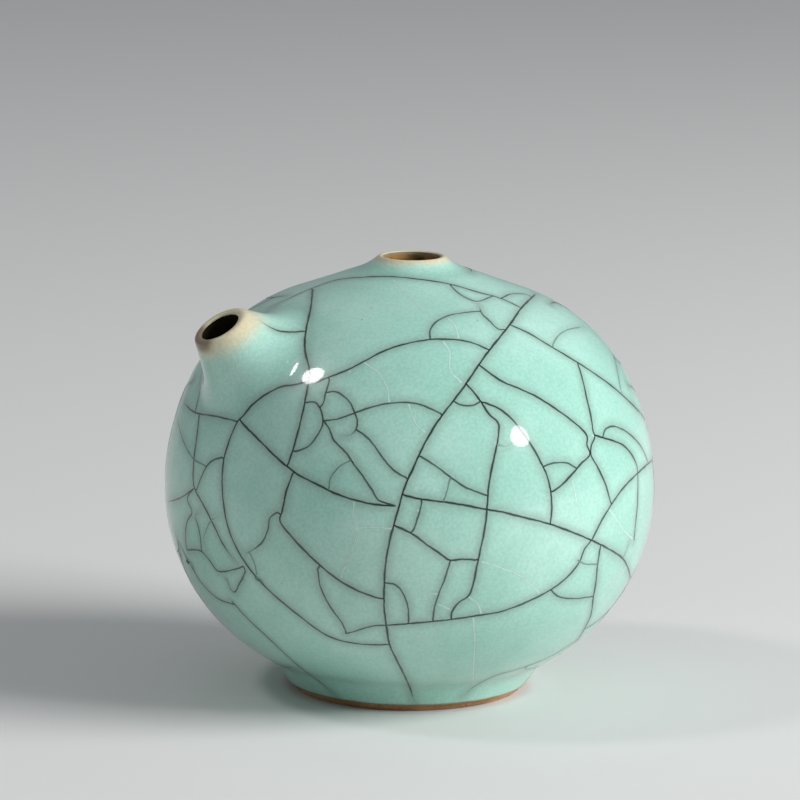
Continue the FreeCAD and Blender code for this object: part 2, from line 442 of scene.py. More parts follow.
def buildGlaze():
    # the outline turned about its axis, the spout's rings in a block cut from it, less what the
    # hand-thrown wall lies inside, and an inner side one coat deeper
    n = glazeGrid
    stations = glazeStations()
    body = bodyGrid(stations)
    rows, columns = body.shape[:2]
    number = np.arange(rows * columns).reshape(rows, columns)

    # block of cells under the spout, on multiples of four so that the inner side can follow
    upShoulder = globePath[3]["bend"] * math.radians(spout["place"] - globe["skirtSlope"])
    standStation = pathLength(globePath[:3]) + upShoulder
    middleRow = 4 * round(np.searchsorted(stations, standStation) / 4)
    top, bottom = middleRow - n["spoutRows"], middleRow + n["spoutRows"]
    left, right = columns // 2 - n["spoutColumns"], columns // 2 + n["spoutColumns"]
    keep = np.ones((rows - 1, columns), bool)
    keep[top:bottom, left:right] = False
    loopNumbers = np.concatenate([
        number[top, left:right], number[top:bottom, right],
        number[bottom, right:left:-1], number[bottom:top:-1, left]])

    loop = body.reshape(-1, 3)[loopNumbers]
    rings, ringSlopes = spoutRings(loop)
    ringNumbers = number.size + np.arange(rings.shape[0] * rings.shape[1]).reshape(rings.shape[:2])

    outer = np.concatenate([body.reshape(-1, 3), rings.reshape(-1, 3)])
    faceOut = np.concatenate([outwardAt(body.reshape(-1, 3)), ringSlopes.reshape(-1, 3)])
    outer = outer - thrown(outer)[:, None] * faceOut

    # the glaze ends above the foot in a flat edge: end - the way the wall faces * coat * (1 - cos(turn))
    wallOut = faceOut[number[-1]]
    end = outer[number[-1]]
    footRows = []
    for share in np.linspace(0, 1, n["footEdge"] + 1)[1:]:
        turn = share * math.pi / 2
        footRows.append(end - wallOut * globe["coat"] * (1 - math.cos(turn)))
    footRows = np.array(footRows)
    footNumbers = len(outer) + np.arange(len(footRows) * columns).reshape(-1, columns)

    # inner side: every fourth point, a coat's thickness in; the count of rings is a multiple of
    # four, so the last one is among them
    coarse = number[4:-1:4, ::4]
    topRow = number[:1, ::4]
    innerRows = np.concatenate([topRow, coarse])
    innerLoop = loopNumbers[::4]
    innerRings = ringNumbers[3::4, ::4]
    source = np.concatenate([innerRows.ravel(), innerRings.ravel()])
    inner = outer[source] - faceOut[source] * globe["coat"]
    firstInner = len(outer) + footNumbers.size
    innerNumbers = firstInner + np.arange(innerRows.size).reshape(innerRows.shape)
    innerRingNumbers = firstInner + innerRows.size + np.arange(innerRings.size).reshape(innerRings.shape)
    innerLoopNumbers = firstInner + np.searchsorted(innerRows.ravel(), innerLoop)

    bodyQuads = gridFaces(number, True).reshape(rows - 1, columns, 4)[keep]
    ringQuads = gridFaces(np.concatenate([loopNumbers[None], ringNumbers]), True)
    footQuads = gridFaces(np.concatenate([number[-1:], footNumbers]), True)
    innerKeep = np.ones((innerNumbers.shape[0] - 1, columns // 4), bool)
    innerKeep[top // 4:bottom // 4, left // 4:right // 4] = False
    innerQuads = gridFaces(innerNumbers, True).reshape(*innerKeep.shape, 4)[innerKeep]
    innerRingQuads = gridFaces(np.concatenate([innerLoopNumbers[None], innerRingNumbers]), True)
    fans = np.concatenate([
        fanFaces(number[0], innerNumbers[0]),
        fanFaces(footNumbers[-1], innerNumbers[-1]),
        fanFaces(ringNumbers[-1], innerRingNumbers[-1])])

    points = np.concatenate([outer, footRows.reshape(-1, 3), inner])
    quads = np.concatenate([bodyQuads, ringQuads, footQuads, innerQuads, innerRingQuads])
    needed = np.zeros(len(points), bool)
    needed[quads.ravel()] = True
    needed[fans.ravel()] = True
    renumber = np.cumsum(needed) - 1
    faces = renumber[quads].tolist() + renumber[fans].tolist()
    piece = newPiece("glaze_skin", points[needed], faces)
    print("glaze skin:", int(needed.sum()), "points,", len(faces), "faces")
    return piece, points[needed], body[::n["sampleRows"], ::n["sampleColumns"]].reshape(-1, 3)


glazePiece, glazePoints, glazeSample = buildGlaze()
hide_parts("outer_glaze")


# the crackle is traced where the photograph shows it, and grown on the far side
tracing = {"left": 150.0, "top": 230.0, "scale": 3.0154}     # of the enlarged piece that was traced
crackTraces = {
    "strong": [
        [(1165, 190), (1120, 235), (1085, 285), (1010, 380), (945, 475), (880, 560), (850, 605), (820, 660),
         (795, 715), (768, 775), (752, 830), (735, 890), (722, 940), (710, 1010), (706, 1080), (706, 1140),
         (712, 1190), (722, 1250), (740, 1290), (765, 1340), (785, 1385), (797, 1425)],
        [(370, 228), (420, 205), (480, 178), (560, 150), (640, 142), (720, 140), (800, 147), (900, 162),
         (1000, 190), (1035, 198), (1080, 215), (1120, 235)],
        [(490, 178), (485, 230), (472, 290), (466, 340), (470, 380), (480, 425), (468, 510), (455, 570),
         (440, 630), (425, 680), (412, 715)],
        [(430, 735), (410, 790), (398, 850), (392, 880), (440, 940), (500, 1000), (560, 1050), (620, 1085),
         (680, 1108), (705, 1112)],
        [(472, 462), (505, 456), (540, 442), (590, 423), (640, 398), (700, 366), (760, 345), (830, 331),
         (880, 328), (940, 332), (985, 344), (1022, 361)],
        [(1085, 285), (1140, 309), (1200, 345), (1260, 381), (1320, 418), (1380, 460), (1425, 497),
         (1470, 540), (1498, 575), (1515, 605)],
        [(1290, 400), (1305, 450), (1318, 510), (1330, 560), (1337, 610), (1343, 622), (1331, 650),
         (1330, 675)],
        [(990, 405), (1028, 433), (1062, 456), (1112, 477), (1162, 500), (1212, 531), (1262, 566),
         (1300, 598), (1319, 622), (1317, 648), (1328, 676), (1300, 705), (1270, 740), (1235, 775),
         (1212, 790)],
        [(1345, 620), (1410, 640), (1440, 660), (1465, 700), (1472, 745), (1470, 830), (1463, 900),
         (1460, 930)],
        [(1330, 680), (1350, 715), (1375, 770), (1390, 825)],
        [(1520, 690), (1480, 725), (1430, 775), (1390, 830), (1360, 880), (1335, 930), (1311, 962),
         (1296, 1000), (1274, 1031), (1242, 1062), (1211, 1084), (1174, 1105), (1118, 1131), (1055, 1153),
         (999, 1162), (955, 1169), (886, 1178), (800, 1186), (725, 1192)],
        [(275, 580), (330, 635), (380, 685), (412, 712), (450, 740), (500, 765), (560, 795), (620, 815),
         (680, 828), (740, 832)],
        [(765, 800), (820, 812), (900, 822), (960, 832), (1010, 842), (1060, 850), (1120, 865), (1200, 885),
         (1270, 910), (1330, 935), (1380, 960), (1425, 990), (1445, 1030), (1450, 1065)],
        [(470, 456), (440, 465), (395, 472), (350, 495), (310, 525), (280, 560), (262, 580), (240, 630),
         (222, 690), (216, 760), (220, 820), (232, 890), (255, 950), (290, 1010), (340, 1070), (400, 1125),
         (450, 1165), (510, 1210), (560, 1235), (620, 1248), (680, 1252), (720, 1250)],
        [(148, 553), (140, 620), (132, 680), (128, 750), (135, 785), (160, 830), (190, 890), (220, 950),
         (255, 1000)],
        [(1003, 526), (1022, 554), (1045, 575), (1053, 592), (1048, 640), (1035, 700), (1022, 770),
         (1017, 840), (1010, 900), (998, 960), (985, 1020), (975, 1070), (960, 1105), (930, 1125),
         (912, 1150), (908, 1170)],
        [(951, 460), (975, 487), (1000, 519)],
        [(1006, 519), (1050, 537), (1088, 566), (1119, 604), (1150, 648), (1181, 704), (1200, 748),
         (1210, 798), (1212, 840), (1208, 885)],
        [(736, 891), (790, 916), (836, 950), (880, 980), (905, 997), (940, 993), (985, 996)],
        [(325, 265), (350, 285), (390, 303), (430, 306), (468, 303)],
        [(1358, 955), (1350, 1010), (1345, 1060), (1337, 1110), (1330, 1160), (1310, 1205), (1285, 1245)],
    ],
    "medium": [
        [(155, 440), (149, 488), (141, 522), (135, 548)],
        [(541, 450), (533, 478), (527, 500), (522, 522), (510, 536)],
        [(905, 165), (930, 190), (960, 207), (990, 215), (1035, 198)],
        [(992, 225), (1000, 250), (1025, 275), (1050, 298), (1072, 300)],
        [(1060, 205), (1090, 192), (1130, 192), (1150, 200)],
        [(845, 325), (845, 300), (865, 275), (900, 258), (940, 250), (985, 245)],
        [(1365, 625), (1375, 600), (1400, 592), (1440, 610), (1480, 650), (1505, 705)],
        [(725, 1192), (670, 1195), (620, 1210), (590, 1218)],
        [(100, 520), (135, 550), (200, 562), (262, 577)],
        [(215, 685), (180, 700), (155, 740), (140, 780)],
        [(50, 820), (90, 808), (130, 780)],
        [(130, 780), (110, 810), (125, 850), (110, 880), (105, 930), (110, 965)],
        [(110, 965), (150, 968), (180, 1000), (205, 1030), (250, 1025), (280, 1015)],
        [(150, 847), (134, 864), (142, 888), (149, 919), (153, 960)],
        [(527, 490), (560, 487), (595, 510), (615, 545), (625, 580), (615, 610), (580, 625)],
        [(470, 520), (500, 520), (520, 560), (515, 600), (480, 650), (440, 668)],
        [(520, 570), (540, 600), (555, 635), (590, 670), (610, 700), (640, 740), (670, 785), (690, 815),
         (740, 832)],
        [(525, 575), (570, 568), (620, 550), (680, 530), (740, 520), (800, 522), (850, 540), (880, 555)],
        [(620, 600), (660, 630), (690, 670), (720, 710), (750, 735), (775, 748)],
        [(820, 685), (860, 710), (900, 740), (950, 775), (1015, 800)],
        [(820, 820), (810, 860), (795, 905)],
        [(905, 1000), (890, 1050), (870, 1100), (858, 1140), (853, 1175)],
        [(708, 1065), (740, 1070), (765, 1100), (778, 1140), (780, 1180)],
        [(915, 515), (940, 528), (975, 528), (1000, 515)],
        [(1190, 712), (1220, 702), (1260, 703), (1285, 718)],
        [(1208, 1084), (1224, 1100), (1242, 1109), (1280, 1112), (1311, 1109), (1336, 1105)],
        [(1453, 1050), (1400, 1130), (1350, 1180), (1310, 1205)],
        [(1444, 945), (1437, 965), (1427, 990)],
        [(945, 1405), (980, 1375), (1040, 1345), (1110, 1325), (1180, 1300), (1230, 1275), (1290, 1235)],
        [(385, 850), (360, 870), (355, 905), (335, 945), (300, 970), (285, 975)],
        [(505, 1025), (515, 1080), (545, 1140), (575, 1180), (592, 1215)],
        [(245, 1120), (300, 1180), (370, 1245), (440, 1310), (520, 1370), (560, 1405)],
        [(80, 930), (110, 990), (150, 1060), (200, 1110), (250, 1130)],
        [(225, 1050), (250, 1094), (270, 1065), (287, 1030)],
    ],
    "faint": [
        [(1215, 345), (1230, 320), (1260, 300), (1310, 290)],
        [(1400, 375), (1410, 420), (1420, 480), (1425, 495)],
        [(80, 570), (100, 640), (130, 690), (165, 710)],
        [(165, 960), (160, 930), (180, 880), (210, 860)],
        [(300, 975), (315, 1010), (320, 1040)],
        [(540, 780), (545, 745), (575, 710), (605, 695)],
        [(905, 750), (895, 790), (885, 820)],
        [(1290, 995), (1311, 1007), (1350, 1008)],
        [(1053, 650), (1075, 652), (1095, 640)],
    ],
    "pale": [
        [(640, 395), (690, 430), (715, 475), (722, 520)],
        [(885, 335), (905, 370), (905, 420), (940, 460)],
        [(900, 266), (922, 291), (931, 326)],
        [(735, 150), (790, 205), (850, 265)],
        [(780, 525), (800, 580), (830, 610)],
        [(500, 790), (502, 850), (510, 893)],
        [(625, 899), (680, 897), (735, 902)],
        [(615, 820), (612, 868), (625, 900), (615, 950), (590, 1012), (575, 1050)],
        [(975, 1170), (980, 1240), (975, 1330), (975, 1370)],
        [(1000, 1000), (1060, 1020), (1120, 1045), (1175, 1095)],
        [(320, 295), (285, 350), (260, 400), (275, 440), (270, 480)],
        [(1275, 755), (1290, 830), (1305, 880)],
        [(1386, 844), (1408, 875), (1430, 906), (1455, 931)],
        [(1511, 781), (1492, 850), (1474, 906), (1460, 935)],
        [(790, 1100), (870, 1097)],
        [(870, 1130), (905, 1145)],
        [(960, 1105), (990, 1130), (1000, 1160)],
        [(1350, 1105), (1400, 1060), (1440, 1010)],
    ],
}
crackSettings = {
    "step": 0.4, "join": 0.9, "liftStep": 0.0001, "sink": 0.05, "taper": 3.0, "sway": 0.014,      # mm
    "core": 0.115, "crossing": (0.75, 0.35), "stain": 0.9, "darkRise": 0.010, "paleRise": 0.006,  # mm
    "halfWidth": {"strong": 0.215, "medium": 0.175, "faint": 0.145, "pale": 0.16},                # mm
    "ink": {"strong": 1.0, "medium": 0.9, "faint": 0.6, "pale": 0.8},
    "across": np.array([-1, -0.66, -0.33, 0, 0.33, 0.66, 1]),      # share of the half width
    "fade": np.array([0, 0.4, 0.95, 1, 0.95, 0.4, 0]),             # share of the ink
    "widthNoise": 0.26, "tipWidth": 0.35, "tipInk": 0.25,          # shares of the full line
    "widthWaves": (0.8, 2.1), "swayWaves": (2.3, 5.3),             # radians per mm
    "aim": 0.3,          # least cosine between an end's heading and the way to the crack it is led onto
    "marches": 40, "batch": 2000, "seed": 11,            # steps along a ray, points compared at once
}


def spline(corners, perSpan=6):
    # Catmull-Rom curve through the corners
    corners = np.array(corners, float)
    p = np.concatenate([[2 * corners[0] - corners[1]], corners, [2 * corners[-1] - corners[-2]]])
    t = (np.arange(perSpan) / perSpan)[None, :, None]
    a, b, c, d = (p[k:len(p) - 3 + k, None] for k in range(4))
    curve = 2 * b + (c - a) * t + (2 * a - 5 * b + 4 * c - d) * t ** 2 + (3 * b - a - 3 * c + d) * t ** 3
    curve = curve / 2
    return np.concatenate([curve.reshape(-1, corners.shape[1]), corners[-1:]])


def seenFrom(pixels):
    # follow the ray through each pixel until it meets the glaze; a near miss goes to the nearest glaze
    middle = view["photoWidth"] / 2
    across = (pixels - middle) / view["pixelsPerRadian"]
    ray = unit(across[:, :1] * camRight - across[:, 1:] * camUp - camBack)
    reach = np.full(len(ray), view["distance"] - 2 * globe["girthRadius"])
    best, bestReach = np.full(len(ray), farAway), reach.copy()
    for _ in range(crackSettings["marches"]):
        gap = glazeGap(camPlace + ray * reach[:, None])
        nearer = gap < best
        best, bestReach = np.where(nearer, gap, best), np.where(nearer, reach, bestReach)
        reach = reach + np.maximum(gap, 0)
    return ontoGlaze(camPlace + ray * bestReach[:, None])


def evenly(points, step):
    # the same line with even steps
    length = np.concatenate([[0], np.cumsum(np.linalg.norm(np.diff(points, axis=0), axis=1))])
    count = max(3, int(round(length[-1] / step)) + 1)
    stations = np.linspace(0, length[-1], count)
    return np.stack([np.interp(stations, length, points[:, k]) for k in range(3)], -1)


def tracedCracks():
    # a curve through each trace's corners, sent along the camera's rays onto the glaze
    cracks = []
    for kind, traces in crackTraces.items():
        curves = [spline(trace) for trace in traces]
        pixels = np.concatenate(curves) / tracing["scale"] + [tracing["left"], tracing["top"]]
        ends = np.cumsum([len(curve) for curve in curves])[:-1]
        for line in np.split(seenFrom(pixels), ends):
            cracks.append({"kind": kind, "line": evenly(line, crackSettings["step"])})
    return cracks


def owners(cracks):
    # the number of its crack, for every point of every line
    return np.repeat(np.arange(len(cracks)), [len(crack["line"]) for crack in cracks])


growth = {
    "seed": 7, "steps": 110, "candidates": 6000, "fewest": 5,
    "step": 0.45, "turnToward": 2.6, "stop": 0.5,                   # mm
    "seedEdge": 2, "seedLip": 3, "tipRim": 1.2, "tipFoot": 0.15, "tipLip": 1.5,    # mm kept clear
    "hidden": 0.02, "keepOut": 0.22,             # most that a seed and a tip may face the camera
    "bend": (0.002, 0.028), "jitter": 0.022,     # sideways part added to the heading at each step
    "bendWave": 0.13, "jitterWave": 0.7,         # radians per step
    "pull": 0.28, "leastPull": 0.06,             # how far a near crack turns the heading to itself
    "leap": 2,                                   # steps at once that mean a tip has left the glaze
    # of each round: kind, how empty a spot must be in mm, the most seeds, and how far they run askew
    "rounds": [("strong", 10.0, 8, 2.0), ("strong", 7.0, 16, 0.4), ("medium", 5.6, 24, 0.4),
               ("medium", 4.6, 24, 0.4), ("faint", 3.9, 18, 0.5), ("pale", 3.4, 16, 1.0)],
}


def nearestTo(places, others):
    # distance to, and number of, the nearest other point of each place
    apart = ((places[:, None] - others[None]) ** 2).sum(2)
    nearest = apart.argmin(1)
    return np.sqrt(apart[np.arange(len(places)), nearest]), nearest


def openSpots(random):
    # places on the side that the photograph doesn't show, away from rim, foot and lip
    spots = glazeSample[random.permutation(len(glazeSample))[:growth["candidates"]]]
    spots = ontoGlaze(spots)
    hidden = outwardAt(spots) @ camBack < growth["hidden"]
    belowRim = spots[:, 2] < globe["height"] - growth["seedEdge"]
    aboveFoot = spots[:, 2] > globe["bareBand"] + growth["seedEdge"]
    return spots[hidden & belowRim & aboveFoot & (mouthDepth(spots) > growth["seedLip"])]


def grownLines(starts, headings, drawn, drawnOwner, own, random):
    # all tips step forward together: each wanders, turns to a crack close by, and stops when it meets it
    g = growth
    place, heading = starts.copy(), headings.copy()
    slow, quick, _ = random.uniform(0, 2 * np.pi, (3, len(place)))
    bendiness = random.uniform(*g["bend"], len(place)) * random.choice([-1, 1], len(place))
    alive = np.ones(len(place), bool)
    trail, trailAlive = [place.copy()], [alive.copy()]
    for count in range(g["steps"]):
        others = np.concatenate([drawn] + trail)
        otherOwner = np.concatenate([drawnOwner] + [own] * len(trail))
        apart = ((place[:, None] - others[None]) ** 2).sum(2)
        apart[own[:, None] == otherOwner[None]] = farAway
        nearest = apart.argmin(1)
        distance = np.sqrt(apart[np.arange(len(place)), nearest])
        toward = unit(others[nearest] - place)
        outward = outwardAt(place)
        met = alive & (distance < g["stop"])
        lead = ((toward * heading).sum(1) > 0) & (distance < g["turnToward"])
        wander = bendiness * (1 + np.sin(g["bendWave"] * count + slow))
        wander = wander + g["jitter"] * np.sin(g["jitterWave"] * count + quick)
        side = np.cross(outward, heading)
        pull = np.where(lead, g["pull"] * (1 - distance / g["turnToward"]) + g["leastPull"], 0)[:, None]
        heading = unit(heading * (1 - pull) + toward * pull + side * np.where(lead, 0, wander)[:, None])
        heading = unit(heading - outward * (heading * outward).sum(1)[:, None])
        step = np.where(alive, g["step"], 0)[:, None]
        ahead = ontoGlaze(place + heading * step, rounds=2)
        lost = np.linalg.norm(ahead - place, axis=1) > g["leap"] * g["step"]
        place = np.where(met[:, None], others[nearest], np.where(lost[:, None], place, ahead))
        atRim = place[:, 2] > globe["height"] - g["tipRim"]
        atFoot = place[:, 2] < globe["bareBand"] + g["tipFoot"]
        atLip = mouthDepth(place) < g["tipLip"]
        off = atRim | atFoot | atLip | lost | (outward @ camBack > g["keepOut"])
        trail.append(place.copy())
        trailAlive.append(alive.copy())
        alive = alive & ~met & ~off
        if not alive.any():
            break
    trail, trailAlive = np.array(trail), np.array(trailAlive)
    return [trail[trailAlive[:, k], k] for k in range(len(place))]


def grownCracks(cracks):
    # each round starts at the emptiest spots and grows both ways until it meets what is there
    random = np.random.default_rng(growth["seed"])
    spots = openSpots(random)
    cracks = list(cracks)
    for kind, empty, most, skew in growth["rounds"]:
        drawn = np.concatenate([crack["line"] for crack in cracks])
        owner = owners(cracks)
        room = nearestTo(spots, drawn)[0]
        seeds = []
        while len(seeds) < most and room.max() > empty:
            seeds.append(spots[room.argmax()])
            room = np.minimum(room, np.linalg.norm(spots - seeds[-1], axis=1))
        if not seeds:
            continue
        seeds = np.array(seeds)
        outward = outwardAt(seeds)
        toDrawn = unit(drawn[nearestTo(seeds, drawn)[1]] - seeds)
        heading = toDrawn + skew * unit(random.normal(size=seeds.shape))
        heading = unit(heading - outward * (heading * outward).sum(1)[:, None])
        own = len(cracks) + np.arange(len(seeds))
        lines = grownLines(np.concatenate([seeds, seeds]), np.concatenate([heading, -heading]),
                           drawn, owner, np.concatenate([own, own]), random)
        for k in range(len(seeds)):
            line = np.concatenate([lines[k + len(seeds)][:0:-1], lines[k]])
            if len(line) > growth["fewest"]:
                cracks.append({"kind": kind, "line": ontoGlaze(line, rounds=2)})
    return cracks


def joined(cracks):
    # a dark end that heads for another crack close by is led onto it; one with none close by is
    # free, and its ribbon tapers
    points, owner = np.concatenate([crack["line"] for crack in cracks]), owners(cracks)
    for k, crack in enumerate(cracks):
        line = crack["line"]
        ends = line[[0, -1]]
        others = points[owner != k]
        apart, nearest = nearestTo(ends, others)
        ahead = unit(ends - line[[3, -4]])
        aimed = (ahead * (others[nearest] - ends)).sum(1) > crackSettings["aim"] * apart
        crack["free"] = apart > crackSettings["join"]
        led = ~crack["free"] & aimed & (crack["kind"] != "pale")
        if led[0]:
            line = np.concatenate([others[nearest[:1]], line])
        if led[1]:
            line = np.concatenate([line, others[nearest[1:]]])
        crack["line"] = evenly(line, crackSettings["step"])
    return cracks


def nearCrack(points, cracks, own=None):
    # distance from each point to the nearest crack line but its own, and that line's strength: the
    # offset from the line's nearest point, less its run along the line up to half a step
    line = np.concatenate([crack["line"] for crack in cracks])
    tangent = np.concatenate([unit(np.gradient(crack["line"], axis=0)) for crack in cracks])
    owner = owners(cracks)
    strength = np.array([crackSettings["ink"][crack["kind"]] for crack in cracks])[owner]
    distance, share = np.zeros(len(points)), np.zeros(len(points))
    squares, across = (line ** 2).sum(1).astype(np.float32), (2 * line.T).astype(np.float32)
    half = crackSettings["step"] / 2
    for start in range(0, len(points), crackSettings["batch"]):
        some = slice(start, start + crackSettings["batch"])
        apart = squares - points[some].astype(np.float32) @ across
        if own is not None:
            apart[own[some][:, None] == owner] = farAway ** 2
        nearest = apart.argmin(1)
        offset = points[some] - line[nearest]
        run = np.clip((offset * tangent[nearest]).sum(1), -half, half)
        distance[some] = np.linalg.norm(offset - run[:, None] * tangent[nearest], axis=1)
        share[some] = strength[nearest]
    return distance, share


def stainOf(points, cracks):
    # the tint that seeps in on both sides of a dark crack: strength * exp(-(distance / reach) ** 2)
    distance, share = nearCrack(points, cracks)
    return share * np.exp(-(distance / crackSettings["stain"]) ** 2)


def twoWaves(run, waves, phases):
    # two sines along a line, added up
    return np.sin(run * waves[0] + phases[0]) + np.sin(run * waves[1] + phases[1])


def crackRibbons(name, cracks, rise):
    # a thin ribbon along each line: seven points across, just above the glaze, and two sunk into it;
    # where it comes to another crack it narrows to a core of full ink, so that neither hides the other
    c = crackSettings
    random = np.random.default_rng(c["seed"])
    middles, tangents, widths, strengths, sways, starts = [], [], [], [], [], [0]
    for crack in cracks:
        line = crack["line"]
        tangent = unit(np.gradient(line, axis=0))
        run = np.arange(len(line)) * c["step"]
        left = np.minimum(run / c["taper"] if crack["free"][0] else 1, 1)
        right = np.minimum(run[::-1] / c["taper"] if crack["free"][1] else 1, 1)
        phase = random.uniform(0, 2 * np.pi, 4)
        sways.append(c["sway"] * twoWaves(run, c["swayWaves"], phase[2:]))
        wobble = 1 + c["widthNoise"] * twoWaves(run, c["widthWaves"], phase[:2]) / 2
        middles.append(line)
        tangents.append(tangent)
        narrowed = c["tipWidth"] + (1 - c["tipWidth"]) * left * right
        widths.append(c["halfWidth"][crack["kind"]] * wobble * narrowed)
        faded = c["tipInk"] + (1 - c["tipInk"]) * left * right
        strengths.append(c["ink"][crack["kind"]] * faded * np.ones(len(line)))
        starts.append(starts[-1] + len(line))
    middle, tangent = np.concatenate(middles), np.concatenate(tangents)
    width, strength = np.concatenate(widths), np.concatenate(strengths)
    apart = nearCrack(middle, cracks, owners(cracks))[0]
    crossing = smoothstep(*c["crossing"], apart)
    width = width + (np.minimum(c["core"], width) - width) * crossing
    side = unit(np.cross(tangent, outwardAt(middle)))
    shift = np.concatenate(sways)[:, None] + width[:, None] * c["across"]
    top = middle[:, None] + side[:, None] * shift[:, :, None]
    flat = ontoGlaze(top.reshape(-1, 3), rounds=2)
    outward = outwardAt(flat)
    own = np.repeat(owners(cracks), len(c["across"]))
    lift = rise + c["liftStep"] * own - thrown(flat)
    raised = (flat + outward * lift[:, None]).reshape(len(middle), -1, 3)
    sunk = (flat + outward * (lift - c["sink"])[:, None]).reshape(len(middle), -1, 3)[:, [-2, 1]]
    section = np.concatenate([raised, sunk], 1)
    corners = section.shape[1]
    fade = c["fade"] + (1 - c["fade"]) * crossing[:, None]
    ink = np.concatenate([strength[:, None] * fade, np.zeros((len(middle), 2))], 1)
    stain = np.exp(-(width[:, None] * c["across"] / c["stain"]) ** 2) * strength[:, None]
    stain = np.concatenate([stain, stain[:, [-2, 1]]], 1)
    number = np.arange(len(middle) * corners).reshape(-1, corners)
    faces = []
    for first, last in zip(starts[:-1], starts[1:]):
        rows = number[first:last]
        loop = np.concatenate([rows, rows[:, :1]], 1)
        quads = np.stack([loop[:-1, :-1], loop[:-1, 1:], loop[1:, 1:], loop[1:, :-1]], -1).reshape(-1, 4)
        faces += quads.tolist() + [rows[0].tolist(), rows[-1, ::-1].tolist()]
    points = section.reshape(-1, 3)
    piece = newPiece(name, points, faces)
    setAttribute(piece, "ink", ink.ravel())
    setAttribute(piece, "stain", stain.ravel())
    print(name + ":", len(cracks), "cracks,", len(faces), "faces")
    return piece, points


allCracks = joined(grownCracks(tracedCracks()))
darkOnes = [crack for crack in allCracks if crack["kind"] != "pale"]
paleOnes = [crack for crack in allCracks if crack["kind"] == "pale"]
darkCracks, darkPoints = crackRibbons("dark_crackle", darkOnes, crackSettings["darkRise"])
paleCracks, palePoints = crackRibbons("pale_crackle", paleOnes, crackSettings["paleRise"])


# what the glaze's colour follows: reaches and heights are in mm, shares are of full strength
thinning = {"rimFull": 4.7, "rimEnd": 6.4, "rimHeight": 52.0, "lipFull": 0.3, "lipEnd": 4.6}
toastAndShadeSettings = {
    "aside": 0.35, "lowSide": (0.15, 0.95),      # the low side's heading, where shade is painted on the spout's lip, and cosines from it
    "lipReach": 2.6, "footReach": 0.55, "holeReach": 0.4, "holeShare": 0.75,
}
poolingAndShade = {"ringOut": 1.2, "ringReach": 1.5, "rootOut": 9.5, "rootReach": 2.6, "rootShare": 0.6}


def nearRim(points):
    # distance from the axis, and whether the point is high enough to belong to the rim
    return np.hypot(points[:, 0], points[:, 1]), points[:, 2] > thinning["rimHeight"]


def thinOf(points):
    # 1 where the glaze ran thin over the rim and the spout's lip, 0 where it is full
    radius, top = nearRim(points)
    rim = smoothstep(thinning["rimEnd"], thinning["rimFull"], radius) * top
    return np.maximum(rim, smoothstep(thinning["lipEnd"], thinning["lipFull"], mouthDepth(points)))


def toastAndShadeOf(points):
    # 1 where the clay shows brown through the glaze: the foot's edge, the fill hole's inner lip,
    # and the spout's lip on its low side, where the brown is partly painted shade
    t = toastAndShadeSettings
    offset = points - mouth
    across = offset - (offset @ mouthAxis)[:, None] * mouthAxis
    low = unit(across) @ unit(t["aside"] * sideways - uphill)
    lip = smoothstep(*t["lowSide"], low) * smoothstep(t["lipReach"], 0.0, mouthDepth(points))
    foot = smoothstep(globe["bareBand"] + t["footReach"], globe["bareBand"], points[:, 2])
    radius, top = nearRim(points)
    inside = t["holeShare"] * smoothstep(globe["holeRadius"] + t["holeReach"], globe["holeRadius"], radius)
    return np.maximum(lip, np.maximum(foot, inside * top))


def pooledAndShadedOf(points):
    # 1 where the glaze gathered thick in the hollows, darkened partly as painted shade: a ring under the
    # rim and round the spout's root
    p = poolingAndShade
    radius, top = nearRim(points)
    ring = np.exp(-((radius - thinning["rimEnd"] - p["ringOut"]) / p["ringReach"]) ** 2) * top
    reach = np.linalg.norm(points - stand, axis=1)
    root = np.exp(-((reach - p["rootOut"]) / p["rootReach"]) ** 2)
    return np.maximum(ring, p["rootShare"] * root)


for piece, points in ((glazePiece, glazePoints), (darkCracks, darkPoints), (paleCracks, palePoints)):
    setAttribute(piece, "thin", thinOf(points))
    setAttribute(piece, "toastAndShade", toastAndShadeOf(points))
    setAttribute(piece, "pooledAndShaded", pooledAndShadedOf(points))
setAttribute(glazePiece, "stain", stainOf(glazePoints, darkOnes))
print("glaze attributes set")


def newMaterial(name):
    # the material, its node tree and its main shader
    material = bpy.data.materials.new(name)
    material.use_nodes = True
    return material, material.node_tree, material.node_tree.nodes["Principled BSDF"]


def addNode(tree, kind, inputs, **settings):
    # a node with its settings; each input takes a value or a link
    node = tree.nodes.new(kind)
    for key, value in settings.items():
        setattr(node, key, value)
    for key, value in inputs.items():
        if isinstance(value, bpy.types.NodeSocket):
            tree.links.new(value, node.inputs[key])
        else:
            node.inputs[key].default_value = value
    return node


def objectPlace(tree):
    # where a point lies, in metres
    return addNode(tree, "ShaderNodeTexCoord", {}).outputs["Object"]


def attribute(tree, name):
    # what the mesh holds at each point under this name
    return addNode(tree, "ShaderNodeAttribute", {}, attribute_name=name).outputs["Fac"]


def clouds(tree, place, lump, detail=2.0):
    # noise with lumps of about so many millimetres
    return addNode(tree, "ShaderNodeTexNoise",
                   {"Vector": place, "Scale": 1 / (lump * mm), "Detail": detail}).outputs["Fac"]


def maths(tree, operation, first, second):
    # one step of arithmetic on two values
    return addNode(tree, "ShaderNodeMath", {0: first, 1: second}, operation=operation).outputs[0]


def spread(tree, value, low, high, toLow=0.0, toHigh=1.0):
    # smooth step from low to high, as toLow to toHigh
    return addNode(tree, "ShaderNodeMapRange", {
        "Value": value, "From Min": low, "From Max": high, "To Min": toLow, "To Max": toHigh,
    }, interpolation_type="SMOOTHSTEP").outputs["Result"]


def mixed(tree, share, first, second, blend="MIX"):
    # first + share * (second - first), or first * second for the multiply blend
    return addNode(tree, "ShaderNodeMix", {0: share, 6: first, 7: second},
                   data_type="RGBA", blend_type=blend).outputs[2]


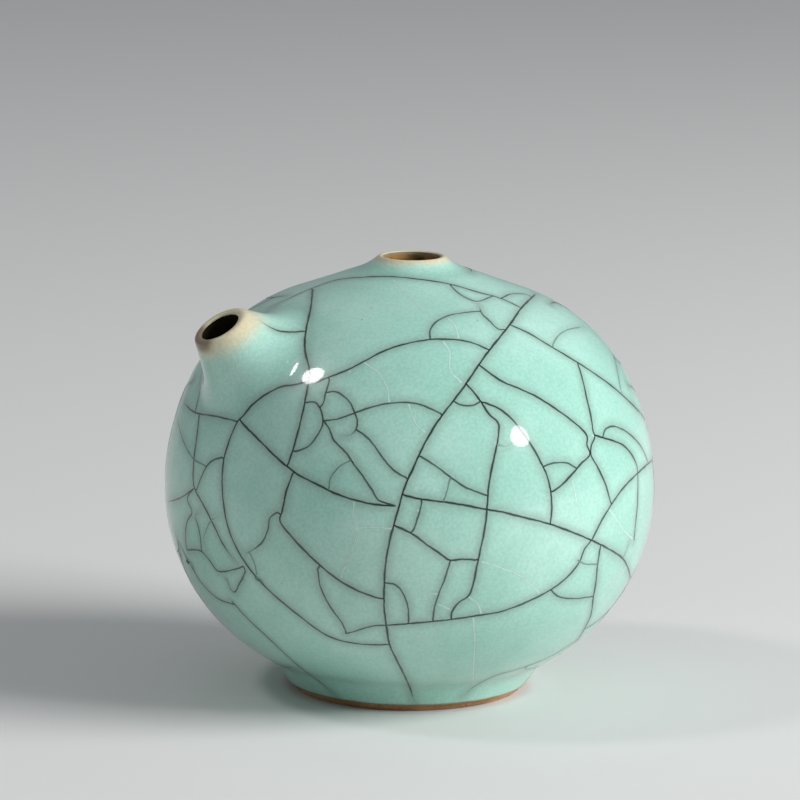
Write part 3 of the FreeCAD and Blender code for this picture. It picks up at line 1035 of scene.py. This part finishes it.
def bumped(tree, shader, height, depth):
    # the surface seems raised by height * depth, in mm
    bump = addNode(tree, "ShaderNodeBump", {"Height": height, "Distance": depth * mm, "Strength": 1.0})
    tree.links.new(bump.outputs["Normal"], shader.inputs["Normal"])


def grainTone(tree, value, low, high):
    # a grey around 1, for multiplying
    tone = spread(tree, value, *noiseSpan, low, high)
    return addNode(tree, "ShaderNodeCombineColor", {0: tone, 1: tone, 2: tone}).outputs[0]


def warp(tree, place):
    # small sideways shifts that bend the crackle's cell edges
    coloured = addNode(tree, "ShaderNodeTexNoise", {"Vector": place, "Scale": 1 / (5 * mm), "Detail": 1.0})
    centred = addNode(tree, "ShaderNodeVectorMath", {0: coloured.outputs["Color"], 1: (0.5, 0.5, 0.5)},
                      operation="SUBTRACT").outputs[0]
    return addNode(tree, "ShaderNodeVectorMath", {0: centred, "Scale": 2.6 * mm},
                   operation="SCALE").outputs[0]


def dots(tree, place, perMetre, edge, middle):
    # a dot in each cell of a fine pattern, and the cell's own random colour to pick it by
    cells = addNode(tree, "ShaderNodeTexVoronoi", {"Vector": place, "Scale": perMetre})
    pick = addNode(tree, "ShaderNodeSeparateColor", {"Color": cells.outputs["Color"]})
    return spread(tree, cells.outputs["Distance"], edge, middle), pick.outputs


def coated(shader):
    # the glassy top of a glaze
    shader.inputs["Coat Weight"].default_value = 0.7
    shader.inputs["Coat Roughness"].default_value = 0.05


noiseSpan = (0.3, 0.7)                       # the values that most of a noise falls between
glazeColours = {                             # linear
    "full": (0.335, 0.625, 0.520, 1), "milky": (0.420, 0.700, 0.600, 1), "deep": (0.245, 0.530, 0.430, 1),
    # the toast colour is clay brown under thin glaze, and on the spout lip's low side partly painted shade
    "thin": (0.660, 0.600, 0.410, 1), "toastAndShade": (0.135, 0.085, 0.050, 1), "stain": (0.230, 0.340, 0.290, 1),
    "pale": (0.530, 0.690, 0.560, 1), "speck": (0.620, 0.800, 0.720, 1), "pore": (0.130, 0.200, 0.160, 1),
}
crackInk = (0.006, 0.015, 0.011, 1)
paleInk = (0.560, 0.780, 0.690, 1)


def glazeMaterial(name, ink=None):
    # crackle glaze; where a piece has ink, that colour comes up by the ink attribute
    material, tree, shader = newMaterial(name)
    place = objectPlace(tree)
    c = glazeColours
    wide, fine = clouds(tree, place, 17), clouds(tree, place, 3.6, 4.0)
    grain = clouds(tree, place, 0.42, 1.0)
    colour = mixed(tree, spread(tree, wide, 0.35, 0.68), c["full"], c["milky"])
    colour = mixed(tree, spread(tree, fine, 0.45, 0.75, 0, 0.22), colour, c["deep"])
    # deeper where the glaze pooled in the hollows under the rim and round the spout's root, partly painted
    # shade
    colour = mixed(tree, maths(tree, "MULTIPLY", attribute(tree, "pooledAndShaded"), 0.6), colour, c["deep"])
    colour = mixed(tree, maths(tree, "MULTIPLY", attribute(tree, "stain"), 0.62), colour, c["stain"])

    # pinholes: a few cells of a fine pattern have a dot, pale or dark
    dot, pick = dots(tree, place, 620.0, 0.13, 0.06)
    paleDot = maths(tree, "MULTIPLY", dot, spread(tree, pick[0], 0.93, 0.96))
    darkDot = maths(tree, "MULTIPLY", dot, spread(tree, pick[1], 0.965, 0.985))
    colour = mixed(tree, maths(tree, "MULTIPLY", paleDot, 0.6), colour, c["speck"])
    colour = mixed(tree, maths(tree, "MULTIPLY", darkDot, 0.55), colour, c["pore"])

    # thinning glaze turns milky and then cream over the clay, with a wandering edge
    wander = spread(tree, fine, *noiseSpan, -0.08, 0.08)
    thin = maths(tree, "ADD", attribute(tree, "thin"), wander)
    # brown where the clay shows through thin glaze; on the spout lip's low side it is partly painted shade
    toastAndShade = spread(tree, maths(tree, "ADD", attribute(tree, "toastAndShade"), wander), 0.15, 0.95, 0, 0.85)
    colour = mixed(tree, spread(tree, thin, 0.05, 0.7, 0, 0.8), colour, c["pale"])
    colour = mixed(tree, spread(tree, thin, 0.35, 1.1), colour, c["thin"])
    colour = mixed(tree, toastAndShade, colour, c["toastAndShade"])
    if ink:
        colour = mixed(tree, attribute(tree, "ink"), colour, ink)
    colour = mixed(tree, 1.0, colour, grainTone(tree, grain, 0.95, 1.05), "MULTIPLY")
    tree.links.new(colour, shader.inputs["Base Color"])
    tree.links.new(spread(tree, fine, *noiseSpan, 0.30, 0.42), shader.inputs["Roughness"])
    coated(shader)
    height = maths(tree, "ADD", clouds(tree, place, 2.4), maths(tree, "MULTIPLY", dot, -0.12))
    bumped(tree, shader, height, 0.035)
    return material


def clayMaterial(name, lit, dark, iron):
    # bare stoneware: warm body with grog, iron specks and faint turning lines
    material, tree, shader = newMaterial(name)
    place = objectPlace(tree)
    patches, grain = clouds(tree, place, 6.0, 3.0), clouds(tree, place, 0.35, 3.0)
    colour = mixed(tree, spread(tree, patches, *noiseSpan), dark, lit)
    dot, pick = dots(tree, place, 1500.0, 0.35, 0.15)
    spot = maths(tree, "MULTIPLY", dot, spread(tree, pick[0], 0.86, 0.9))
    colour = mixed(tree, maths(tree, "MULTIPLY", spot, 0.7), colour, iron)
    colour = mixed(tree, 1.0, colour, grainTone(tree, grain, 0.82, 1.16), "MULTIPLY")
    tree.links.new(colour, shader.inputs["Base Color"])
    tree.links.new(spread(tree, grain, *noiseSpan, 0.72, 0.92), shader.inputs["Roughness"])
    stretched = addNode(tree, "ShaderNodeMapping", {"Vector": place, "Scale": (0.15, 0.15, 1.0)})
    turning = clouds(tree, stretched.outputs["Vector"], 0.5, 1.0)
    bumped(tree, shader, maths(tree, "ADD", grain, maths(tree, "MULTIPLY", turning, 0.8)), 0.09)
    return material


def linerMaterial():
    # dark glossy liner, amber where it thins at the fill hole
    material, tree, shader = newMaterial("liner_dark_glaze")
    place = objectPlace(tree)
    height = addNode(tree, "ShaderNodeSeparateXYZ", {"Vector": place}).outputs["Z"]
    patches = clouds(tree, place, 3.0, 3.0)
    lifted = maths(tree, "ADD", height, spread(tree, patches, *noiseSpan, -0.5 * mm, 0.5 * mm))
    dark = mixed(tree, patches, (0.012, 0.011, 0.006, 1), (0.030, 0.026, 0.012, 1))
    colour = mixed(tree, spread(tree, lifted, 60.5 * mm, 61.7 * mm), dark, (0.360, 0.190, 0.065, 1))
    tree.links.new(colour, shader.inputs["Base Color"])
    tree.links.new(spread(tree, patches, *noiseSpan, 0.10, 0.22), shader.inputs["Roughness"])
    bumped(tree, shader, clouds(tree, place, 1.8), 0.05)
    return material


def baseMaterial():
    # the glazed recess under the foot: the same glaze, pooled, with its own small crackle
    material, tree, shader = newMaterial("base_crackle_glaze")
    place = objectPlace(tree)
    c = glazeColours
    patches, fine = clouds(tree, place, 9.0), clouds(tree, place, 2.0, 3.0)
    shifted = addNode(tree, "ShaderNodeVectorMath", {0: place, 1: warp(tree, place)}, operation="ADD")
    cells = addNode(tree, "ShaderNodeTexVoronoi",
                    {"Vector": shifted.outputs[0], "Scale": 165.0, "Randomness": 0.9},
                    feature="DISTANCE_TO_EDGE", voronoi_dimensions="2D")
    line = spread(tree, cells.outputs["Distance"], 0.026, 0.010)
    soft = spread(tree, cells.outputs["Distance"], 0.12, 0.0)
    colour = mixed(tree, spread(tree, patches, *noiseSpan), c["full"], c["deep"])
    colour = mixed(tree, maths(tree, "MULTIPLY", soft, 0.4), colour, c["stain"])
    colour = mixed(tree, maths(tree, "MULTIPLY", line, 0.85), colour, crackInk)
    tree.links.new(colour, shader.inputs["Base Color"])
    tree.links.new(spread(tree, fine, *noiseSpan, 0.26, 0.40), shader.inputs["Roughness"])
    coated(shader)
    bumped(tree, shader, fine, 0.05)
    return material


glazePiece.data.materials.append(glazeMaterial("crackle_glaze"))
darkCracks.data.materials.append(glazeMaterial("dark_crackle_lines", crackInk))
paleCracks.data.materials.append(glazeMaterial("pale_crackle_lines", paleInk))
footClay = clayMaterial("toasted_foot_clay", (0.52, 0.29, 0.125, 1), (0.36, 0.18, 0.075, 1),
                        (0.08, 0.04, 0.02, 1))
bodyClay = clayMaterial("stoneware_clay", (0.50, 0.30, 0.16, 1), (0.38, 0.22, 0.11, 1),
                        (0.09, 0.05, 0.03, 1))
baseGlaze = baseMaterial()
finishes = {                                 # outer_glaze isn't shown: the glaze skin stands for it
    "foot_ring": footClay, "clay_globe": bodyClay, "clay_collar": bodyClay, "clay_spout": bodyClay,
    "liner_glaze": linerMaterial(), "base_glaze": baseGlaze, "outer_glaze": baseGlaze,
}
for name, finish in finishes.items():
    for slot in nodes[name].material_slots:
        slot.material = finish
print("materials:", len(bpy.data.materials))


# floor and light, in metres
studio = {
    "floorHalf": 4.0, "floorColour": (0.74, 0.74, 0.73, 1), "floorRoughness": 0.7,
    "lampAim": 0.03,                             # height that the lamps face
    "skyColour": (0.93, 0.96, 1.0, 1), "skyStrength": 0.26,
}
lamps = {                                        # metres and watts; mirrored says whether gloss shows it
    "softKey": {"direction": (0.60, -0.66, 0.48), "distance": 1.1, "size": 0.6, "power": 13.5,
                "mirrored": False},
    "spark": {"direction": (0.381, -0.807, 0.452), "distance": 1.0, "size": 0.16, "power": 1.3,
              "mirrored": True},
    "backSpark": {"direction": (-0.53, 0.25, 0.81), "distance": 1.0, "size": 0.15, "power": 1.3,
                  "mirrored": True},
}


def addStage():
    # a square floor under the foot
    half = studio["floorHalf"]
    mesh = bpy.data.meshes.new("floor")
    corners = [(-half, -half, 0), (half, -half, 0), (half, half, 0), (-half, half, 0)]
    mesh.from_pydata(corners, [], [(0, 1, 2, 3)])
    floor = newObject("floor", mesh)
    material, tree, shader = newMaterial("pale_floor")
    shader.inputs["Base Color"].default_value = studio["floorColour"]
    shader.inputs["Roughness"].default_value = studio["floorRoughness"]
    mesh.materials.append(material)


def addLight(name, direction, distance, size, power, mirrored):
    # a round soft lamp that faces the object
    data = bpy.data.lights.new(name, "AREA")
    data.shape = "DISK"
    data.size = size
    data.energy = power
    lamp = newObject(name, data)
    back = unit(np.array(direction, float))
    right = unit(np.cross([0, 0, 1], back))
    place = back * distance + [0, 0, studio["lampAim"]]
    lamp.matrix_world = placed(right, np.cross(back, right), back, place)
    lamp.visible_glossy = mirrored


addStage()
for name, lamp in lamps.items():
    addLight(name, **lamp)
world = bpy.data.worlds.new("studio")
world.use_nodes = True
sky = world.node_tree.nodes["Background"]
sky.inputs["Color"].default_value = studio["skyColour"]
sky.inputs["Strength"].default_value = studio["skyStrength"]
bpy.context.scene.world = world
bpy.context.scene.view_settings.view_transform = "Standard"
addCamera()
print("lamps:", ", ".join(lamps))
